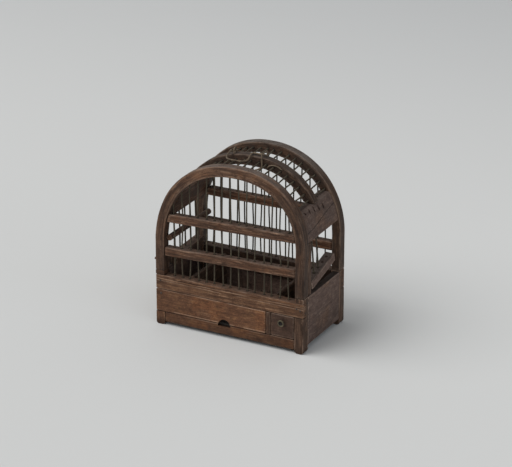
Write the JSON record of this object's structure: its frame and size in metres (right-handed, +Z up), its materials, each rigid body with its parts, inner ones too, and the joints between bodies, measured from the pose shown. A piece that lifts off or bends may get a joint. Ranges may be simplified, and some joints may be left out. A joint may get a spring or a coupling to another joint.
{
  "type": "birdcage",
  "caption": "Small wooden birdcage with an arched wire roof, wire walls, sliding side doors, a litter tray, a seed drawer and a folding wire bail.",
  "frame": {"origin": "centre of the bounding box's underside, on the floor between the feet", "axes": "+Z up, the cage's front with its tray and drawer faces -Y, its width runs along X"},
  "size_m": [0.0912, 0.052, 0.1013],
  "materials": {
    "warm_oak": "waxed, worn",
    "worn_oak": "dull, worn and grey at the edges",
    "dark_oak": "dark, unpolished",
    "iron_wire": "darkened iron wire",
    "bright_wire": "dull drawn wire",
    "brass": "tarnished",
    "dull_tin": "folded sheet, dull"
  },
  "bodies": {
    "cage": {"front_base_rail": "warm_oak", "rear_base_rail": "warm_oak", "front_panel": "warm_oak", "drawer_divider": "warm_oak", "front_grille": "warm_oak", "rear_grille": "warm_oak", "front_upper_rail": "warm_oak", "rear_upper_rail": "warm_oak", "middle_rib": "warm_oak", "front_left_leg": "worn_oak", "front_right_leg": "worn_oak", "rear_left_leg": "worn_oak", "rear_right_leg": "worn_oak", "front_hoop": "worn_oak", "rear_hoop": "worn_oak", "left_shoulder_board": "worn_oak", "right_shoulder_board": "worn_oak", "rear_panel": "worn_oak", "left_side_panel": "worn_oak", "right_side_panel": "worn_oak", "left_door_stile": "worn_oak", "right_door_stile": "worn_oak", "perch": "worn_oak", "left_partition": "dark_oak", "right_partition": "dark_oak", "drawer_shelf": "dark_oak", "left_tray_runner": "dark_oak", "right_tray_runner": "dark_oak", "leg_peg": "dark_oak", "bail_staple": "iron_wire", "roof_wire_01": "iron_wire", "roof_wire_02": "iron_wire", "roof_wire_03": "iron_wire", "roof_wire_04": "iron_wire", "roof_wire_05": "iron_wire", "roof_wire_06": "iron_wire", "roof_wire_07": "iron_wire", "roof_wire_08": "iron_wire", "roof_wire_09": "iron_wire", "roof_wire_10": "iron_wire", "roof_wire_11": "iron_wire", "roof_wire_12": "iron_wire", "roof_wire_13": "iron_wire", "roof_wire_14": "iron_wire", "roof_wire_15": "iron_wire", "roof_wire_16": "iron_wire", "roof_wire_17": "iron_wire", "roof_wire_18": "iron_wire", "roof_wire_19": "iron_wire", "bail_clip": "bright_wire"},
    "litter_tray": {"tray_front": "warm_oak", "tray_pan": "dull_tin"},
    "seed_drawer": {"drawer_front": "warm_oak", "drawer_box": "dark_oak", "drawer_knob": "brass"},
    "right_door": {"right_door_bar": "worn_oak", "right_door_wire_1": "iron_wire", "right_door_wire_2": "iron_wire"},
    "left_door": {"left_door": "worn_oak"},
    "bail": {"hanging_bail": "bright_wire"}
  },
  "joints": [
    {"name": "litter_tray_slide", "type": "slide", "parent": "cage", "child": "litter_tray", "axis": [0, -1, 0], "range_m": [0, 0.036]},
    {"name": "seed_drawer_slide", "type": "slide", "parent": "cage", "child": "seed_drawer", "axis": [0, -1, 0], "range_m": [0, 0.022]},
    {"name": "right_door_slide", "type": "slide", "parent": "cage", "child": "right_door", "axis": [0, -0.1736, 0.9848], "range_m": [0, 0.018]},
    {"name": "left_door_slide", "type": "slide", "parent": "cage", "child": "left_door", "axis": [0, -0.0349, 0.9994], "range_m": [0, 0.0105]},
    {"name": "bail_hinge", "type": "hinge", "parent": "cage", "child": "bail", "pos_m": [-0.00384, 0.00115, 0.0995], "axis": [-1, 0, 0], "range_deg": [0, 180]}
  ]
}
